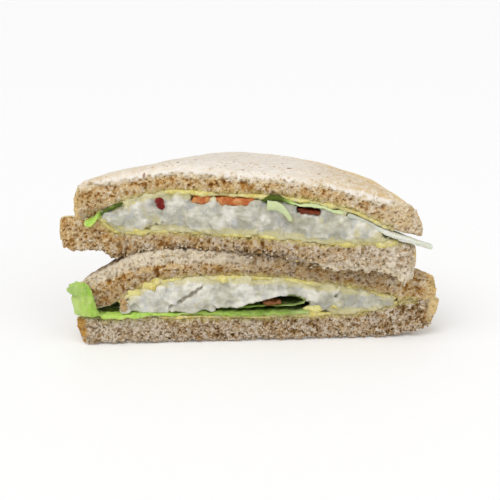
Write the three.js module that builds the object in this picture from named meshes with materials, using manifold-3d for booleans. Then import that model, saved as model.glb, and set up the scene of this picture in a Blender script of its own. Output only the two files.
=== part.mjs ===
// A chicken mayo sandwich on sliced wholemeal bread, cut from corner to corner.
// The two triangular halves lie one on the other, cut faces to the front (-Y), crusts to the back.
// Each half is a stack of layers: bread, spread, filling with salad, spread, bread.
// Millimetres, +Z up. The origin is under the middle of the sandwich, on the surface it lies on.
//
// A half is modelled in its own frame: s runs along the cut, t goes in from the cut to the crusts.

import * as THREE from "three";
import { mergeVertices } from "three/addons/utils/BufferGeometryUtils.js";
import Module from "manifold-3d";

const wasm = await Module();
wasm.setup();

const { clamp, lerp, degToRad, smoothstep } = THREE.MathUtils;

// ---------------------------------------------------------------- driving dimensions

const CRUST_THICK = 12.5; // a slice keeps its full thickness at the crust
const CRUST_FILLED = 7.8; // filled height between the slices at the crust
const CORNER_R = 12; // rounded corner of a slice
const CRUMB_RELIEF = 0.45; // how far the cut crumb stands in and out
const SPREAD_THICK = 1.0;
const SPREAD_MARGIN = 5; // the spread and the filling stay this far inside the crusts
const FILLING_MARGIN = 7;
const LEAF_THICK = 0.8;
const LEAF_WAVE = 0.25;
const TOMATO_THICK = 3.0;
const GAP = 0.35; // clearance between neighbouring pieces
const LEAF_CLEAR = 0.25; // more clearance for the wavy pieces
const HALF_GAP = 0.7; // clearance between the halves

const LOWER_YAW = degToRad(4);
const UPPER_YAW = degToRad(-2.5);
const UPPER_FORWARD = 0.8; // the upper half lies this far in front of the lower one

// Where each slice ends along the cut, left and right.
const LOWER_BOTTOM_ENDS = [-70.8, 79.2];
const LOWER_TOP_ENDS = [-69.3, 77];
const UPPER_BOTTOM_ENDS = [-76.8, 66.5];
const UPPER_TOP_ENDS = [-70.8, 69.4];

// Heights along the cut are given at equal steps from s = -70 to s = 70.
const STATION_REACH = 70;
const STATION_STEP = 14;

const SOFT_UNDERSIDE = 0.6; // the lowest slice sags this far below the heights given here
const LOWER_FLOOR_LIFT = [0.4, 0, 0, 0, 0, 0, 0, 0, 0, 0.2, 1.4];
const LOWER_BOTTOM_BREAD = [10, 9.6, 10.2, 9.4, 9.5, 9.1, 9.3, 9.4, 9.6, 12.3, 13.6];
const LOWER_FILLED = [3.6, 7.2, 14.1, 18.2, 18.3, 18.3, 16.9, 14.6, 12.4, 5.4, 0.6];
const LOWER_TOP_BREAD = [12.4, 15, 12.6, 10.4, 9.4, 9.4, 9.6, 9.8, 9.6, 11.8, 12.2];

const UPPER_BOTTOM_BREAD = [12.6, 11, 7.2, 6, 6, 6, 5.9, 6.2, 8.6, 11.2, 11.4];
const UPPER_ROOF_HEIGHT = [50.2, 56.4, 61.8, 62.8, 61.9, 61.3, 60.4, 58.5, 54.9, 48.2, 44.7];
const UPPER_TOP_BREAD = [15, 12.4, 9.8, 10.6, 10.7, 9.8, 9.9, 9.7, 10.3, 12.4, 10.2];
const SHELF_HEIGHT = 37.2; // underside of the upper half's left end, up to SHELF_END
const SHELF_END = -57;
const UPPER_TOP_CRUST = [13.5, 13.1, 13.8, 14.5, 13.8, 12.1, 13.0, 13.5, 12.7, 13.0, 12.7];
const UPPER_FRONT_FALL = [0.1, 0.7, 1.6, 1.5, 2.7, 2.2, 2.9, 2.2, 1.0, 0.6, 0]; // pressed down by the knife
const FRONT_FALL_DEPTH = 10;
const UPPER_LIP_DROOP = [0, 0, 0, 0, 0, 0.3, 2, 3.4, 2.6, 2, 4.5]; // torn lower edge of the cut

// ---------------------------------------------------------------- small tools

// A smooth curve through values at equal steps along the cut.
function alongCut(values) {
  const last = values.length - 1;
  const at = (i) => values[clamp(i, 0, last)];
  return (s) => {
    const place = clamp((s + STATION_REACH) / STATION_STEP, 0, last);
    const i = Math.min(Math.floor(place), last - 1);
    const u = place - i;
    const [a, b, c, d] = [at(i - 1), at(i), at(i + 1), at(i + 2)];
    return b + 0.5 * u * (c - a + u * (2 * a - 5 * b + 4 * c - d + u * (3 * (b - c) + d - a)));
  };
}

// A repeatable uneven value between about -1 and 1.
function uneven(a, b, seed) {
  const p = 0.83 * a + 1.9 * seed;
  const q = 0.71 * b - 2.3 * seed;
  return 0.5 * Math.sin(p + 1.3 * Math.sin(q)) + 0.3 * Math.sin(2.1 * p - q) + 0.2 * Math.sin(3.7 * q + p);
}

function softMax(a, b, blend) {
  const h = Math.max(blend - Math.abs(a - b), 0) / blend;
  return Math.max(a, b) + (h * h * blend) / 4;
}

const point = (s, t, z) => new THREE.Vector3(s, t, z);

function geometryOf(points, triangles) {
  const geometry = new THREE.BufferGeometry().setFromPoints(points);
  geometry.setIndex(triangles);
  return geometry;
}

function toSolid(geometry) {
  const bare = geometry.clone();
  bare.deleteAttribute("normal");
  bare.deleteAttribute("uv");
  const merged = mergeVertices(bare, 1e-4);
  return new wasm.Manifold(
    new wasm.Mesh({
      numProp: 3,
      vertProperties: merged.attributes.position.array,
      triVerts: new Uint32Array(merged.index.array),
    }),
  );
}

// The largest body of a solid, as a geometry.
function toGeometry(solid) {
  const bodies = solid.decompose();
  const main = bodies.reduce((a, b) => (b.volume() > a.volume() ? b : a));
  const mesh = main.getMesh();
  const geometry = new THREE.BufferGeometry();
  geometry.setAttribute("position", new THREE.BufferAttribute(mesh.vertProperties, 3));
  geometry.setIndex(new THREE.BufferAttribute(mesh.triVerts, 1));
  return geometry;
}

// The first geometry with the others cut out of it.
function cutBy(geometry, ...cutters) {
  return toGeometry(cutters.reduce((left, cutter) => left.subtract(toSolid(cutter)), toSolid(geometry)));
}

// Several overlapping geometries made one.
function fused(...geometries) {
  return toGeometry(geometries.map(toSolid).reduce((a, b) => a.add(b)));
}

// ---------------------------------------------------------------- plans and layers

// Columns of points run in from the cut. All layers have theirs at the same places, so that the
// faces of neighbouring layers match. Rows divide each column.
const COLUMN_STEP = 6;
const ROWS = 5;

// How far in from the cut the crust of a half slice is. The slice's corners are rounded.
function crustDepth([left, right], s) {
  const fromEnd = Math.max(Math.min(s - left, right - s), 0);
  const middle = (right - left) / 2 - fromEnd;
  const apexRounding = CORNER_R * Math.SQRT2 - Math.sqrt(Math.max(CORNER_R ** 2 - middle ** 2, 0));
  if (middle < CORNER_R * Math.SQRT1_2) return (right - left) / 2 - apexRounding + CORNER_R * (Math.SQRT2 - 1);
  if (fromEnd > CORNER_R * (1 - Math.SQRT1_2)) return fromEnd + CORNER_R * (Math.SQRT2 - 1);
  return Math.max(Math.sqrt(CORNER_R ** 2 - (CORNER_R - fromEnd) ** 2), CORNER_R * 0.35);
}

function sharedStations([left, right], leastStep = 1.5) {
  const stations = [left];
  const first = Math.ceil((left + leastStep) / COLUMN_STEP) * COLUMN_STEP;
  for (let s = first; s < right - leastStep; s += COLUMN_STEP) stations.push(s);
  return [...stations, right];
}

function evenStations([left, right], steps) {
  return Array.from({ length: steps + 1 }, (_, i) => lerp(left, right, i / steps));
}

// The plan of a layer. An end that is nearly a point has only its front and back points.
function planOf(stations, backAt, { front = 0, chamfer = 0.8, rows = ROWS } = {}) {
  const last = stations.length - 1;
  const columns = stations.map((s, i) => {
    const isEnd = i === 0 || i === last;
    return { s, front: front + (isEnd ? chamfer : 0), back: backAt(s) };
  });
  const isPointed = (i) => (i === 0 || i === last) && columns[i].back - columns[i].front < 8;
  const loop = columns.map((_, i) => [i, 0]);
  if (!isPointed(last)) for (let j = 1; j < rows; j++) loop.push([last, j]);
  for (let i = last; i >= 0; i--) loop.push([i, rows]);
  if (!isPointed(0)) for (let j = rows - 1; j > 0; j--) loop.push([0, j]);
  const outline = loop.map(([i, j]) => {
    const { s, front: from, back } = columns[i];
    return new THREE.Vector2(s, lerp(from, back, j / rows));
  });
  const order = new Map(loop.map(([i, j], q) => [i * (rows + 1) + j, q]));
  const onLoop = (i, j) => order.get(i * (rows + 1) + (isPointed(i) ? (j > rows / 2 ? rows : 0) : j));
  return { columns, rows, last, loop, outline, onLoop };
}

// The outline of a plan moved inward. Inner columns keep their place along the cut.
function insetOutline({ columns, rows, last, loop, outline }, insetAt) {
  const inwardOf = (from, to) => {
    const along = to.clone().sub(from).normalize();
    return new THREE.Vector2(-along.y, along.x);
  };
  return outline.map((p, q) => {
    const [i, j] = loop[q];
    const one = inwardOf(outline.at(q - 1), p);
    const two = inwardOf(p, outline[(q + 1) % outline.length]);
    const inward = one.clone().add(two).divideScalar(1 + one.dot(two));
    if (i > 0 && i < last) inward.set(0, 2 / (one.y + two.y));
    const move = inward.multiplyScalar(insetAt(p.x, p.y));
    const depth = columns[i].back - columns[i].front;
    const across = i === 0 ? columns[1].s - columns[0].s : columns[i].s - columns[i - 1].s;
    move.x = clamp(move.x, -0.65 * across, 0.65 * across);
    if (j === 0) move.y = Math.min(move.y, 0.3 * depth);
    if (j === rows) move.y = Math.max(move.y, -0.55 * depth);
    return move.add(p);
  });
}

// A layer between two height functions. Each side step has an inset from the outline, a share of
// the way down, and a drop, each a number or a function of the outline point (s, t).
function layerSolid(plan, top, bottom, sideSteps) {
  const { rows, last, onLoop } = plan;
  const asFunction = (given) => (typeof given === "function" ? given : () => given);
  const sides = sideSteps.map((step) => {
    const [down, drop] = [asFunction(step.down), asFunction(step.drop ?? 0)];
    return insetOutline(plan, asFunction(step.inset)).map((q, i) => {
      const p = plan.outline[i];
      const height = lerp(top(q.x, q.y), bottom(q.x, q.y), down(p.x, p.y));
      return point(q.x, q.y, height - drop(p.x, p.y));
    });
  });
  const points = sides.flat();
  const triangles = [];
  const addTriangle = (...corners) => {
    if (new Set(corners).size === 3) triangles.push(...corners);
  };

  const count = plan.outline.length;
  for (let ring = 0; ring + 1 < sides.length; ring++) {
    for (let q = 0; q < count; q++) {
      const [a, b] = [ring * count + q, ring * count + ((q + 1) % count)];
      addTriangle(a, a + count, b + count);
      addTriangle(a, b + count, b);
    }
  }

  const addFace = (ring, height, isTop) => {
    const rim = ring * count;
    const firstInner = points.length;
    for (let i = 1; i < last; i++) {
      const [from, to] = [points[rim + onLoop(i, 0)], points[rim + onLoop(i, rows)]];
      for (let j = 1; j < rows; j++) {
        const p = from.clone().lerp(to, j / rows);
        points.push(p.setZ(height(p.x, p.y)));
      }
    }
    const index = (i, j) => {
      const isInner = i > 0 && i < last && j > 0 && j < rows;
      return isInner ? firstInner + (i - 1) * (rows - 1) + j - 1 : rim + onLoop(i, j);
    };
    for (let i = 0; i < last; i++) {
      for (let j = 0; j < rows; j++) {
        const [a, b, c, d] = [index(i, j), index(i + 1, j), index(i + 1, j + 1), index(i, j + 1)];
        for (const [x, y, z] of [[a, b, c], [a, c, d]]) addTriangle(x, isTop ? y : z, isTop ? z : y);
      }
    }
  };
  addFace(0, top, true);
  addFace(sides.length - 1, bottom, false);
  return geometryOf(points, triangles);
}

// A thin sheet about a middle surface, both faces split into triangles alike.
function sheetSolid(uSteps, vSteps, middleAt, below, above = below) {
  const grid = (offset) => {
    const points = [];
    for (let i = 0; i <= uSteps; i++) {
      for (let j = 0; j <= vSteps; j++) {
        const [u, v] = [i / uSteps, j / vSteps];
        const e = 1e-3;
        const alongU = middleAt(Math.min(u + e, 1), v).sub(middleAt(Math.max(u - e, 0), v));
        const alongV = middleAt(u, Math.min(v + e, 1)).sub(middleAt(u, Math.max(v - e, 0)));
        const normal = alongU.cross(alongV).normalize();
        points.push(middleAt(u, v).addScaledVector(normal, offset));
      }
    }
    return points;
  };
  const points = [...grid(above), ...grid(-below)];
  const under = points.length / 2;
  const index = (i, j) => i * (vSteps + 1) + j;
  const triangles = [];
  for (let i = 0; i < uSteps; i++) {
    for (let j = 0; j < vSteps; j++) {
      const [a, b, c, d] = [index(i, j), index(i + 1, j), index(i + 1, j + 1), index(i, j + 1)];
      triangles.push(a, b, c, a, c, d);
      triangles.push(under + a, under + c, under + b, under + a, under + d, under + c);
    }
  }
  const rim = [];
  for (let i = 0; i < uSteps; i++) rim.push(index(i, 0));
  for (let j = 0; j < vSteps; j++) rim.push(index(uSteps, j));
  for (let i = uSteps; i > 0; i--) rim.push(index(i, vSteps));
  for (let j = vSteps; j > 0; j--) rim.push(index(0, j));
  rim.forEach((a, i) => {
    const b = rim[(i + 1) % rim.length];
    triangles.push(a, under + a, under + b, a, under + b, b);
  });
  return geometryOf(points, triangles);
}

// A round knob of food, such as a lump of chicken.
function knob(at, radii, turn = 0) {
  const geometry = new THREE.SphereGeometry(1, 9, 7);
  geometry.scale(radii.x, radii.y, radii.z);
  geometry.rotateY(turn);
  geometry.translate(at.x, at.y, at.z);
  return geometry;
}

// ---------------------------------------------------------------- the levels of a half

// Heights of the four bread faces of a half. At the crusts the bread is at its full thickness and
// the filling is thin. At the cut both follow the given curves.
function levelsOf(ends, floor, curves) {
  const { bottomBread, filled, topBread, topCrust = () => CRUST_THICK, frontFall = () => 0 } = curves;
  const depthAt = (s) => crustDepth(ends, s);
  const edgeward = (s, t) => {
    const share = clamp(t / Math.max(depthAt(s), 10), 0, 1);
    return share * share * (2.4 - 1.4 * share);
  };
  // At the sharp ends the cut and the crust are close, so their heights are alike.
  const towardsCrust = (curve, atCrust) => (s, t) => {
    const crust = lerp(curve(s), atCrust(s), smoothstep(depthAt(s), 10, 30));
    return lerp(curve(s), crust, edgeward(s, t));
  };
  const bottomThick = towardsCrust(bottomBread, () => CRUST_THICK);
  const topThick = towardsCrust(topBread, topCrust);
  const room = towardsCrust(filled, (s) => Math.min(filled(s), CRUST_FILLED));
  const bottomTop = (s, t) => floor(s, t) + bottomThick(s, t);
  const topBottom = (s, t) => bottomTop(s, t) + room(s, t);
  const pressed = (s, t) => frontFall(s) * Math.max(1 - t / FRONT_FALL_DEPTH, 0) ** 2;
  const top = (s, t) => topBottom(s, t) + topThick(s, t) - pressed(s, t);
  return { depthAt, floor, bottomTop, topBottom, top };
}

const floorLift = alongCut(LOWER_FLOOR_LIFT);
const lower = levelsOf(LOWER_BOTTOM_ENDS, (s) => Math.max(floorLift(s), 0) - SOFT_UNDERSIDE, {
  bottomBread: alongCut(LOWER_BOTTOM_BREAD.map((thickness) => thickness + SOFT_UNDERSIDE)),
  filled: alongCut(LOWER_FILLED),
  topBread: alongCut(LOWER_TOP_BREAD),
});

// The upper half sags onto the lower one, except its left end, which stands off as a shelf.
function upperFloor(s, t) {
  const inWorld = new THREE.Vector2(s, t).rotateAround(new THREE.Vector2(), UPPER_YAW);
  inWorld.y -= UPPER_FORWARD;
  const inLower = inWorld.rotateAround(new THREE.Vector2(), -LOWER_YAW);
  const resting = lower.top(inLower.x, inLower.y) + HALF_GAP;
  const shelf = SHELF_HEIGHT - 0.1 * t - 1.1 * Math.max(0, s - SHELF_END);
  return softMax(resting, shelf, 1.5);
}
const upperBottomBread = alongCut(UPPER_BOTTOM_BREAD);
const upperRoof = alongCut(UPPER_ROOF_HEIGHT);
const upper = levelsOf(UPPER_BOTTOM_ENDS, upperFloor, {
  bottomBread: upperBottomBread,
  filled: (s) => upperRoof(s) - upperFloor(s, 0) - upperBottomBread(s),
  topBread: alongCut(UPPER_TOP_BREAD),
  topCrust: alongCut(UPPER_TOP_CRUST),
  frontFall: alongCut(UPPER_FRONT_FALL),
});

// ---------------------------------------------------------------- bread

// Side steps of a slice from its outer face to the face on the filling. The cut face is flat, with
// a rounded edge above or a torn edge below. The crusts are rounded, most at the outer shoulder.
const CUT_ABOVE = { inset: [3.0, 0.9, 0, 0, 0.15, 0.6], down: [0.01, 0.09, 0.32, 0.64, 0.93, 1] };
const CUT_BELOW = { inset: [1.4, 0.2, 0, 0, 0.15, 0.6], down: [0, 0.02, 0.3, 0.64, 0.93, 1] };
const CRUST_SIDE = { inset: [7, 3.0, 1.0, 0, 0.7, 3.2], down: [0, 0.08, 0.3, 0.64, 0.92, 1] };
const TIP_SIDE = { inset: [4.5, 2.2, 0.7, 0, 0.2, 1.2], down: [0, 0.07, 0.3, 0.64, 0.95, 1] };

// The leans say how far the outer face is set back at the left and right end.
function breadSolid(ends, leans, top, bottom, seed, outerFaceIsTop, droop = () => 0) {
  const cutSide = outerFaceIsTop ? CUT_ABOVE : CUT_BELOW;
  const steps = cutSide.inset.length;
  const onCut = (t) => 1 - smoothstep(t, 0.2, 2.5);
  const onTip = (s, t) => (1 - onCut(t)) * (1 - smoothstep(Math.min(s - ends[0], ends[1] - s), 0, 9));
  const blend = (key, k, s, t) =>
    lerp(lerp(CRUST_SIDE[key][k], TIP_SIDE[key][k], onTip(s, t)), cutSide[key][k], onCut(t));
  const sides = cutSide.inset.map((_, step) => {
    const k = outerFaceIsTop ? step : steps - 1 - step;
    const isInner = step > 0 && step < steps - 1;
    const leanAt = (s) => {
      const [end, lean] = s < 0 ? [s - ends[0], leans[0]] : [ends[1] - s, leans[1]];
      return end < 0.1 ? lean * (1 - cutSide.down[k]) : 0;
    };
    const reliefAt = (s, t) => (isInner ? CRUMB_RELIEF * onCut(t) * uneven(s, 4 * step, seed) : 0);
    return {
      inset: (s, t) => blend("inset", k, s, t) + leanAt(s) + reliefAt(s, t),
      down: (s, t) => (outerFaceIsTop ? blend("down", k, s, t) : 1 - blend("down", k, s, t)),
      drop: (s, t) => (step === steps - 2 ? droop(s) * onCut(t) : 0),
    };
  });
  return layerSolid(planOf(sharedStations(ends, 3.5), (s) => crustDepth(ends, s)), top, bottom, sides);
}

const lipDroop = alongCut(UPPER_LIP_DROOP);
const slices = {
  lower_bottom_bread: breadSolid(LOWER_BOTTOM_ENDS, [2, 3.4], lower.bottomTop, lower.floor, 1, false),
  lower_top_bread: breadSolid(LOWER_TOP_ENDS, [0, 0], lower.top, lower.topBottom, 2, true),
  upper_bottom_bread: breadSolid(UPPER_BOTTOM_ENDS, [0, 0], upper.bottomTop, upper.floor, 3, false, lipDroop),
  upper_top_bread: breadSolid(UPPER_TOP_ENDS, [0.5, 2.4], upper.top, upper.topBottom, 4, true),
};

// ---------------------------------------------------------------- spread

// A filling or spread has blunt ends, and keeps a margin inside the crusts of the given slices.
function insidePlan(sliceEnds, ends, margin) {
  const backAt = (s) => Math.min(...sliceEnds.map((slice) => crustDepth(slice, s))) - margin * Math.SQRT2;
  return planOf(sharedStations(ends), backAt);
}

// The faces of the spread on the bottom slice and of the spread under the top slice.
const onBottom = (half, rise) => (s, t) => half.bottomTop(s, t) + GAP + rise;
const underTop = (half, fall) => (s, t) => half.topBottom(s, t) - GAP - fall;

function spreadSolid(slice, ends, top, bottom) {
  const edge = (s, t) => (t < 1 ? 0.25 + 0.2 * uneven(s, 0, 5) : 0.3);
  return layerSolid(insidePlan([slice], ends, SPREAD_MARGIN), top, bottom, [
    { inset: edge, down: 0 },
    { inset: edge, down: 1 },
  ]);
}

const bottomSpread = (half, slice, ends) =>
  spreadSolid(slice, ends, onBottom(half, SPREAD_THICK), onBottom(half, 0));
const topSpread = (half, slice, ends) =>
  spreadSolid(slice, ends, underTop(half, 0), underTop(half, SPREAD_THICK));

// Where the filling and the salad start: clear of the spread on each slice.
const fillFloor = (half) => onBottom(half, SPREAD_THICK + GAP);
const fillRoof = (half) => underTop(half, SPREAD_THICK + GAP);

// ---------------------------------------------------------------- salad of the lower half

// The leaf lies on the lower spread and hangs a little over the cut. Its left end stands up round
// the tip of the top slice like a collar.
const COLLAR_TOP = 28.4;
const LEAF_RIGHT = 24.5;
const LEAF_HANG_SHARE = 0.3; // share of the leaf's width that is collar or hanging edge

// Front line of the leaf and the line where it ends inside, from the back of the tip to the right.
const collarFront = [[-68.4, 9.8], [-71.0, 4.4], [-70.2, -1], [-67, -2.5], [-63.6, -2.4]];
const collarInside = [[-63.5, 10.5], [-65, 8], [-65.3, 5.6], [-64, 6.4], [-62, 9]];
const onPlan = ([s, t]) => point(s, t, 0);
const leafStations = evenStations([-60, LEAF_RIGHT], 12);
// Between the collar and the mouth of the filling the leaf's edge lies a little behind the cut.
const leafHidden = (s) => smoothstep(s, -40, -27) * (1 - smoothstep(s, -17, -9));
const leafFront = new THREE.CatmullRomCurve3([
  ...collarFront.map(onPlan),
  ...leafStations.map((s) => point(s, (s < -58 ? -1.9 : -1.4) + 2.1 * leafHidden(s), 0)),
]);
const leafInside = new THREE.CatmullRomCurve3([
  ...collarInside.map(onPlan),
  ...leafStations.map((s) => point(s, lower.depthAt(s) - 3.5, 0)),
]);

function lowerLeafAt(u, v) {
  const front = leafFront.getPoint(u);
  const span = u * (collarFront.length + leafStations.length - 1);
  const standing = 1 - smoothstep(span, 4, 4.8);
  const lie = (p) => fillFloor(lower)(p.x, Math.max(p.y, 0)) + LEAF_CLEAR + LEAF_THICK / 2;
  if (v >= LEAF_HANG_SHARE) {
    const p = front.lerp(leafInside.getPoint(u), Math.pow((v - LEAF_HANG_SHARE) / (1 - LEAF_HANG_SHARE), 1.4));
    return p.setZ(lie(p) + LEAF_WAVE * (1 + uneven(0.45 * p.x, 0.3 * p.y, 6)));
  }
  const out = 1 - v / LEAF_HANG_SHARE;
  const along = leafFront.getTangent(u);
  const foot = lie(front) + LEAF_WAVE * (1 + uneven(0.45 * front.x, 0.3 * front.y, 6));
  const hanging = foot - lerp(1.9, 0.9, smoothstep(front.x, -52, -34)) * (0.85 + 0.25 * Math.sin(0.9 * front.x));
  const collarEdge = COLLAR_TOP - 9 * (1 - smoothstep(span, 0, 2.6)) + Math.sin(2.9 * span);
  const flare = lerp(1.5, 0.5, smoothstep(span, 2, 3.4));
  const ruffle = standing * out * (0.3 * Math.sin(5 * span) + flare * out) + 0.3 * out * (1 - standing);
  const edge = lerp(hanging, collarEdge, standing);
  return point(front.x + along.y * ruffle, front.y - along.x * ruffle, lerp(foot, edge, out));
}

// A second leaf, folded back on itself in the mouth of the filling.
const foldPath = new THREE.CatmullRomCurve3([
  point(4.6, 0, 17.2),
  point(13, 0, 18.7),
  point(20.2, 0, 17.9),
  point(22.4, 0, 16.2),
  point(19.6, 0, 14.6),
  point(6, 0, 14.0),
  point(-12.6, 0, 13.7),
]);
const FOLD_DEPTH = 12;
function lowerFoldAt(u, v) {
  const p = foldPath.getPoint(u);
  const t = lerp(0.4 + 0.5 * Math.sin(9 * u), FOLD_DEPTH, v);
  return point(p.x, t, p.z + 0.02 * t);
}

// A slice of tomato cut by the knife: its straight side shows in the cut.
function tomatoSlice([left, right], depth, top, bottom, extra = 0) {
  const middle = (left + right) / 2;
  const half = (right - left) / 2 + extra;
  const backAt = (s) => extra + depth * Math.sqrt(Math.max(0.12, 1 - ((s - middle) / half) ** 2));
  const stations = evenStations([middle - half, middle + half], Math.max(4, Math.round(half / 1.6)));
  return layerSolid(planOf(stations, backAt, { front: -0.5 - extra, chamfer: 0.6, rows: 3 }), top, bottom, [
    { inset: 0.35, down: 0 },
    { inset: 0, down: 0.3 },
    { inset: 0, down: 0.75 },
    { inset: 0.35, down: 1 },
  ]);
}

const lowerTomato = tomatoSlice([5.6, 12.6], 7.5, () => 16.4, () => 15.1);

// ---------------------------------------------------------------- salad of the upper half

// Each piece lies in a recess of the filling, which reaches up to the top spread.
const RECESS_RISE = 6;

// Left leaf: under the top slice, its front corner turned down over the filling's end.
function upperLeftLeafAt(extra) {
  return (u, v) => {
    const s = lerp(-66.2 - extra, -50.5 + extra, u);
    const inside = Math.max(upper.depthAt(s) - 5, 4) + extra;
    const t = lerp(-1.5 - extra, inside, Math.pow(v, 1.5));
    const turned = smoothstep(-t, -0.4, 1.5) * 3.6 * Math.exp(-(((s + 63.2) / 3.2) ** 2));
    const below = lerp(0.1, SPREAD_THICK + GAP, smoothstep(s, -62, -57));
    const roof = upper.topBottom(s, Math.max(t, 0)) - GAP - below;
    return point(s, t, roof - LEAF_CLEAR - LEAF_THICK / 2 - turned);
  };
}

// Right leaf: wavy, from the middle of the cut to where its rib begins.
function upperRightLeafAt(extra) {
  return (u, v) => {
    const s = lerp(4.6 - extra, 37 + extra, u);
    const t = lerp(-1.0 - extra, upper.depthAt(s) - 14 + extra, Math.pow(v, 1.4));
    const sag = LEAF_CLEAR + 0.35 * (1 + Math.sin(0.42 * s + 0.12 * t));
    return point(s, t, fillRoof(upper)(s, Math.max(t, 0)) - LEAF_THICK / 2 - sag);
  };
}

// The pale rib of that leaf lies under the top slice and comes out past the right crust.
const RIB_THICK = 2.1;
const RIB_FALL = 0.3; // how much it dips for each millimetre past the filling
function ribAt(extra) {
  return (u, v) => {
    const s = lerp(38.2 - extra, 72.5 + extra, u);
    const t = lerp(-0.9 - extra, lerp(11, 2.6, smoothstep(s, 50, 68)) + extra, v);
    const roof = fillRoof(upper)(Math.min(s, 57), Math.max(t, 0)) - RIB_FALL * Math.max(0, s - 57);
    return point(s, t, roof - LEAF_CLEAR - RIB_THICK / 2 + 0.3 * Math.sin(3 * v) - 0.3);
  };
}

// A small curled piece of leaf that hangs on the front of the filling.
const curlPath = new THREE.CatmullRomCurve3([
  point(6.6, 0, 57.5),
  point(10.6, 0, 57.2),
  point(13.8, 0, 54.9),
  point(16.4, 0, 51.2),
]);
const CURL_WIDTH = 4.4;
function curlAt(u, v) {
  const p = curlPath.getPoint(u);
  const along = curlPath.getTangent(u);
  const across = CURL_WIDTH * (v - 0.5) * (1.1 - 0.85 * u);
  return point(p.x - along.z * across, -2.8 + 0.9 * (2 * v - 1) ** 2, p.z + along.x * across);
}

const roofUnderTomato = (s, t) => fillRoof(upper)(s, Math.max(t, 0)) - LEAF_CLEAR;
const roofUnderLeaf = (s, t) => roofUnderTomato(s, t) - LEAF_THICK - 1.0 - GAP;
const UPPER_TOMATOES = [
  { ends: [-23, -15.2], depth: 9, roof: roofUnderTomato, thickness: TOMATO_THICK },
  { ends: [-14.3, 3.2], depth: 17, roof: roofUnderTomato, thickness: TOMATO_THICK },
  { ends: [18.8, 27.6], depth: 10, roof: roofUnderLeaf, thickness: 2.4 },
];
function upperTomato({ ends, depth, roof, thickness }) {
  return tomatoSlice(ends, depth, roof, (s, t) => roof(s, t) - thickness);
}
function tomatoRecess({ ends, depth, roof, thickness }) {
  const above = (s, t) => roof(s, t) + RECESS_RISE;
  return tomatoSlice(ends, depth, above, (s, t) => roof(s, t) - thickness - GAP, GAP + 0.2);
}

// A chip of red pepper set in the face of the filling.
const PEPPER_AT = point(-35.6, -1.3, 57.4);
const pepper = (extra) => knob(PEPPER_AT, new THREE.Vector3(1.9 + extra, 1.4 + extra, 2.7 + extra), 0.5);

// ---------------------------------------------------------------- chicken mayo

// The cut face of the filling is lumpy and stands a little proud of the bread.
function fillingSolid(sliceEnds, ends, top, bottom, seed) {
  const lumpy = (inset, step) => (s, t) => inset - (t < 1 ? 0.9 * uneven(1.4 * s, 7 * step, seed) : 0);
  return layerSolid(insidePlan(sliceEnds, ends, FILLING_MARGIN), top, bottom, [
    { inset: 0.9, down: 0 },
    { inset: lumpy(0.1, 1), down: 0.16 },
    { inset: lumpy(-0.5, 2), down: 0.38 },
    { inset: lumpy(-0.5, 3), down: 0.62 },
    { inset: lumpy(0, 4), down: 0.84 },
    { inset: 0.8, down: 1 },
  ]);
}

// The lower filling stands on the leaf, and on the bare spread past the leaf's right end.
const leafRoom = LEAF_CLEAR + LEAF_THICK + 2 * LEAF_WAVE + 2 * GAP;
const lowerFillFloor = (s, t) => fillFloor(lower)(s, t) + leafRoom * (1 - smoothstep(s, 32, 37));

// The hollow mouth in the lower filling, where the folded leaf shows.
function mouth() {
  const outline = new THREE.Shape([new THREE.Vector2(-14.4, 9), new THREE.Vector2(-14.4, 14.9)]);
  outline.splineThru([
    new THREE.Vector2(-4, 15.8),
    new THREE.Vector2(3.4, 17.9),
    new THREE.Vector2(12, 20.1),
    new THREE.Vector2(20, 19.6),
    new THREE.Vector2(24.4, 17.2),
    new THREE.Vector2(25.2, 9),
  ]);
  const geometry = new THREE.ExtrudeGeometry(outline, { depth: 17.5, bevelEnabled: false, curveSegments: 2 });
  return geometry.rotateX(Math.PI / 2).translate(0, 13.5, 0);
}

const lowerFilling = cutBy(
  fused(
    fillingSolid([LOWER_BOTTOM_ENDS, LOWER_TOP_ENDS], [-48.5, 59], fillRoof(lower), lowerFillFloor, 7),
    knob(point(-49.6, 2.4, 15.3), new THREE.Vector3(3.0, 3.2, 1.8)),
  ),
  mouth(),
);

const recessOf = (uSteps, vSteps, at, thickness) =>
  sheetSolid(uSteps, vSteps, at(GAP), thickness / 2 + GAP, RECESS_RISE);
const upperFilling = cutBy(
  fillingSolid([UPPER_BOTTOM_ENDS, UPPER_TOP_ENDS], [-58.5, 56.5], fillRoof(upper), fillFloor(upper), 8),
  recessOf(6, 5, upperLeftLeafAt, LEAF_THICK),
  recessOf(12, 7, upperRightLeafAt, LEAF_THICK),
  recessOf(12, 4, ribAt, RIB_THICK),
  ...UPPER_TOMATOES.map(tomatoRecess),
  sheetSolid(6, 3, curlAt, LEAF_THICK / 2 + GAP),
  pepper(GAP),
);

// ---------------------------------------------------------------- the sandwich

const finish = (color, roughness) => new THREE.MeshStandardMaterial({ color, roughness, metalness: 0 });
const breadFinish = finish(0xd2b48c, 0.9);
const spreadFinish = finish(0xe6d67e, 0.6);
const mayoFinish = finish(0xe9e7da, 0.45);
const leafFinish = finish(0x9fce54, 0.5);
const ribFinish = finish(0xd9dfc6, 0.4);
const tomatoFinish = finish(0xc7653a, 0.35);
const pepperFinish = finish(0x9a1f1a, 0.35);

function halfGroup(yaw, forward, pieces) {
  const group = new THREE.Group();
  for (const [name, geometry, material] of pieces) {
    const mesh = new THREE.Mesh(geometry, material);
    mesh.name = name;
    group.add(mesh);
  }
  group.rotation.z = yaw;
  group.position.y = -forward;
  return group;
}

const leafSheet = (uSteps, vSteps, at, thickness = LEAF_THICK) => sheetSolid(uSteps, vSteps, at, thickness / 2);

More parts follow.
